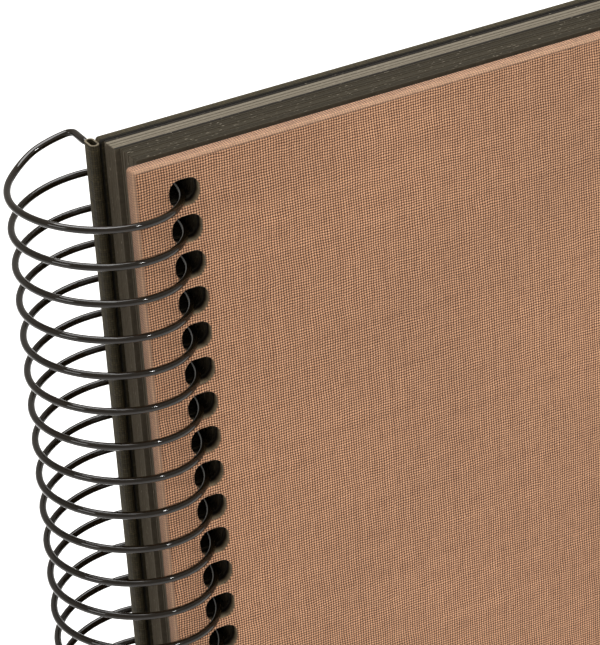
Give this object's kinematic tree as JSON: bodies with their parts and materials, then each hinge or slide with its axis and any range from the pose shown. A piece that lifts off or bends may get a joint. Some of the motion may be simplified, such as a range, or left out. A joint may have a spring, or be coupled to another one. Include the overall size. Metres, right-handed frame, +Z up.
{
  "type": "sketchbook",
  "caption": "Upright spiral-bound sketchbook: cloth-covered front board, heavy black card leaves and black cloth back cover turning on one black wire coil.",
  "frame": {"origin": "on the ground plane under the middle of the outline, with the wire coil's axis in the plane y = 0", "axes": "+X from the spine to the fore-edge, +Y from the front cover to the back cover, +Z up along the spine"},
  "size_m": [0.231, 0.0282, 0.298],
  "materials": {
    "linen": "plain-weave book linen, matt",
    "board": "raw grey-beige bookbinding board",
    "lining": "matt black lining paper",
    "front_leaf": "matt black card with flecked cut edges",
    "rear_leaf": "matt black card with paler cut edges",
    "black_cloth": "black-brown book cloth, fine weave",
    "wire": "gloss black coated steel wire"
  },
  "bodies": {
    "back_cover": {"back_lining": "lining", "back_board": "board", "back_cloth": "black_cloth", "spine_roll": "black_cloth", "spiral_wire": "wire"},
    "leaf_01_body": {"leaf_01": "front_leaf"},
    "leaf_02_body": {"leaf_02": "front_leaf"},
    "leaf_03_body": {"leaf_03": "front_leaf"},
    "leaf_04_body": {"leaf_04": "front_leaf"},
    "leaf_05_body": {"leaf_05": "front_leaf"},
    "leaf_06_body": {"leaf_06": "front_leaf"},
    "leaf_07_body": {"leaf_07": "front_leaf"},
    "leaf_08_body": {"leaf_08": "front_leaf"},
    "leaf_09_body": {"leaf_09": "front_leaf"},
    "leaf_10_body": {"leaf_10": "front_leaf"},
    "leaf_11_body": {"leaf_11": "front_leaf"},
    "leaf_12_body": {"leaf_12": "front_leaf"},
    "leaf_13_body": {"leaf_13": "rear_leaf"},
    "leaf_14_body": {"leaf_14": "rear_leaf"},
    "leaf_15_body": {"leaf_15": "rear_leaf"},
    "leaf_16_body": {"leaf_16": "rear_leaf"},
    "leaf_17_body": {"leaf_17": "rear_leaf"},
    "leaf_18_body": {"leaf_18": "rear_leaf"},
    "leaf_19_body": {"leaf_19": "rear_leaf"},
    "leaf_20_body": {"leaf_20": "rear_leaf"},
    "front_cover": {"front_cloth": "linen", "front_board": "board", "front_lining": "lining"}
  },
  "joints": [
    {"name": "leaf_20_turn", "type": "hinge", "parent": "back_cover", "child": "leaf_20_body", "pos_m": [-0.1015, 0, 0.149], "axis": [0, 0, -1], "range_deg": [0, 180]},
    {"name": "leaf_19_turn", "type": "hinge", "parent": "leaf_20_body", "child": "leaf_19_body", "pos_m": [-0.1015, 0, 0.149], "axis": [0, 0, -1], "range_deg": [0, 180]},
    {"name": "leaf_18_turn", "type": "hinge", "parent": "leaf_19_body", "child": "leaf_18_body", "pos_m": [-0.1015, 0, 0.149], "axis": [0, 0, -1], "range_deg": [0, 180]},
    {"name": "leaf_17_turn", "type": "hinge", "parent": "leaf_18_body", "child": "leaf_17_body", "pos_m": [-0.1015, 0, 0.149], "axis": [0, 0, -1], "range_deg": [0, 180]},
    {"name": "leaf_16_turn", "type": "hinge", "parent": "leaf_17_body", "child": "leaf_16_body", "pos_m": [-0.1015, 0, 0.149], "axis": [0, 0, -1], "range_deg": [0, 180]},
    {"name": "leaf_15_turn", "type": "hinge", "parent": "leaf_16_body", "child": "leaf_15_body", "pos_m": [-0.1015, 0, 0.149], "axis": [0, 0, -1], "range_deg": [0, 180]},
    {"name": "leaf_14_turn", "type": "hinge", "parent": "leaf_15_body", "child": "leaf_14_body", "pos_m": [-0.1015, 0, 0.149], "axis": [0, 0, -1], "range_deg": [0, 180]},
    {"name": "leaf_13_turn", "type": "hinge", "parent": "leaf_14_body", "child": "leaf_13_body", "pos_m": [-0.1015, 0, 0.149], "axis": [0, 0, -1], "range_deg": [0, 180]},
    {"name": "leaf_12_turn", "type": "hinge", "parent": "leaf_13_body", "child": "leaf_12_body", "pos_m": [-0.1015, 0, 0.149], "axis": [0, 0, -1], "range_deg": [0, 180]},
    {"name": "leaf_11_turn", "type": "hinge", "parent": "leaf_12_body", "child": "leaf_11_body", "pos_m": [-0.1015, 0, 0.149], "axis": [0, 0, -1], "range_deg": [0, 180]},
    {"name": "leaf_10_turn", "type": "hinge", "parent": "leaf_11_body", "child": "leaf_10_body", "pos_m": [-0.1015, 0, 0.149], "axis": [0, 0, -1], "range_deg": [0, 180]},
    {"name": "leaf_09_turn", "type": "hinge", "parent": "leaf_10_body", "child": "leaf_09_body", "pos_m": [-0.1015, 0, 0.149], "axis": [0, 0, -1], "range_deg": [0, 180]},
    {"name": "leaf_08_turn", "type": "hinge", "parent": "leaf_09_body", "child": "leaf_08_body", "pos_m": [-0.1015, 0, 0.149], "axis": [0, 0, -1], "range_deg": [0, 180]},
    {"name": "leaf_07_turn", "type": "hinge", "parent": "leaf_08_body", "child": "leaf_07_body", "pos_m": [-0.1015, 0, 0.149], "axis": [0, 0, -1], "range_deg": [0, 180]},
    {"name": "leaf_06_turn", "type": "hinge", "parent": "leaf_07_body", "child": "leaf_06_body", "pos_m": [-0.1015, 0, 0.149], "axis": [0, 0, -1], "range_deg": [0, 180]},
    {"name": "leaf_05_turn", "type": "hinge", "parent": "leaf_06_body", "child": "leaf_05_body", "pos_m": [-0.1015, 0, 0.149], "axis": [0, 0, -1], "range_deg": [0, 180]},
    {"name": "leaf_04_turn", "type": "hinge", "parent": "leaf_05_body", "child": "leaf_04_body", "pos_m": [-0.1015, 0, 0.149], "axis": [0, 0, -1], "range_deg": [0, 180]},
    {"name": "leaf_03_turn", "type": "hinge", "parent": "leaf_04_body", "child": "leaf_03_body", "pos_m": [-0.1015, 0, 0.149], "axis": [0, 0, -1], "range_deg": [0, 180]},
    {"name": "leaf_02_turn", "type": "hinge", "parent": "leaf_03_body", "child": "leaf_02_body", "pos_m": [-0.1015, 0, 0.149], "axis": [0, 0, -1], "range_deg": [0, 180]},
    {"name": "leaf_01_turn", "type": "hinge", "parent": "leaf_02_body", "child": "leaf_01_body", "pos_m": [-0.1015, 0, 0.149], "axis": [0, 0, -1], "range_deg": [0, 180]},
    {"name": "front_cover_turn", "type": "hinge", "parent": "leaf_01_body", "child": "front_cover", "pos_m": [-0.1015, 0, 0.149], "axis": [0, 0, -1], "range_deg": [0, 180]}
  ]
}
